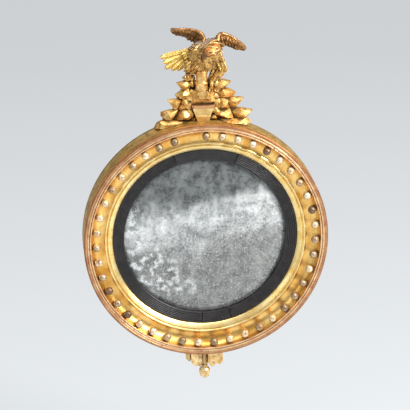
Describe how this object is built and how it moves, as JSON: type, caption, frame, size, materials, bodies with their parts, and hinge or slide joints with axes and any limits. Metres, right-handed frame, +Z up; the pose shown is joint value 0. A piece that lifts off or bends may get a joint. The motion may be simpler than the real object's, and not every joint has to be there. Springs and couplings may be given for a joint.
{
  "type": "convex butlers mirror",
  "caption": "Round convex wall mirror in a giltwood frame with a hollow of balls, a black reeded slip, a carved eagle on rockwork and a leaf apron.",
  "frame": {"origin": "centre of the backboard's rear face, on the wall plane", "axes": "+Y into the wall, the glass faces -Y, +Z up to the eagle, +X to the right of a viewer in front"},
  "size_m": [0.568, 0.0904, 0.8612],
  "materials": {
    "rim_gilding": "worn water gilding over red-brown bole on turned pine",
    "side_gilding": "dull olive-gold size on pine",
    "ebonised_slip": "ebonised, satin, fine reeding",
    "ball_gilding": "turned balls, gilding worn to grey and brown",
    "convex_mirror": "old silvering, cloudy and foxed",
    "bare_pine": "bare aged pine",
    "dowel_beech": "bare beech",
    "nail_iron": "dark iron",
    "screw_steel": "dull steel",
    "hanger_brass": "tarnished brass",
    "rock_gilding": "burnished gilding with dark recesses",
    "crest_board_gilding": "dark gold size",
    "wing_gilding": "dusty gilding worn to brown",
    "eagle_gilding": "burnished gilding, dusty on top",
    "leaf_gilding": "burnished gilding"
  },
  "bodies": {
    "mirror": {"apron_bud": "leaf_gilding", "apron_dowels": "dowel_beech", "apron_leaves": "leaf_gilding", "backboard_left": "bare_pine", "backboard_middle": "bare_pine", "backboard_nails": "nail_iron", "backboard_right": "bare_pine", "balls_bottom": "ball_gilding", "balls_left": "ball_gilding", "balls_right": "ball_gilding", "balls_top": "ball_gilding", "balls_top_right": "ball_gilding", "convex_glass": "convex_mirror", "crest_board": "crest_board_gilding", "crest_dowels": "dowel_beech", "eagle_body": "eagle_gilding", "eagle_head": "eagle_gilding", "eagle_left_leg": "eagle_gilding", "eagle_left_wing": "wing_gilding", "eagle_right_leg": "eagle_gilding", "eagle_right_wing": "wing_gilding", "eagle_tail": "eagle_gilding", "front_felloe_bottom": "rim_gilding", "front_felloe_left": "rim_gilding", "front_felloe_right": "rim_gilding", "front_felloe_top": "rim_gilding", "glass_blocks": "bare_pine", "hanging_plate": "hanger_brass", "hanging_plate_screws": "screw_steel", "keystone": "rock_gilding", "rear_felloe_lower_left": "side_gilding", "rear_felloe_lower_right": "side_gilding", "rear_felloe_upper_left": "side_gilding", "rear_felloe_upper_right": "side_gilding", "rock_left_0": "rock_gilding", "rock_left_1": "rock_gilding", "rock_left_2": "rock_gilding", "rock_left_3": "rock_gilding", "rock_left_4": "rock_gilding", "rock_left_5": "rock_gilding", "rock_left_inner_1": "rock_gilding", "rock_left_inner_2": "rock_gilding", "rock_right_0": "rock_gilding", "rock_right_1": "rock_gilding", "rock_right_2": "rock_gilding", "rock_right_3": "rock_gilding", "rock_right_4": "rock_gilding", "rock_right_inner_1": "rock_gilding", "rock_right_inner_2": "rock_gilding", "slip_bottom": "ebonised_slip", "slip_left": "ebonised_slip", "slip_right": "ebonised_slip", "slip_top": "ebonised_slip", "stump": "rock_gilding", "wedge_stone": "rock_gilding"},
    "hanging_ring": {"hanging_ring": "hanger_brass"}
  },
  "joints": [
    {"name": "hanging_ring_hinge", "type": "hinge", "parent": "mirror", "child": "hanging_ring", "pos_m": [0, -0.0052, 0.2698], "axis": [1, 0, 0], "range_deg": [0, 180]}
  ]
}
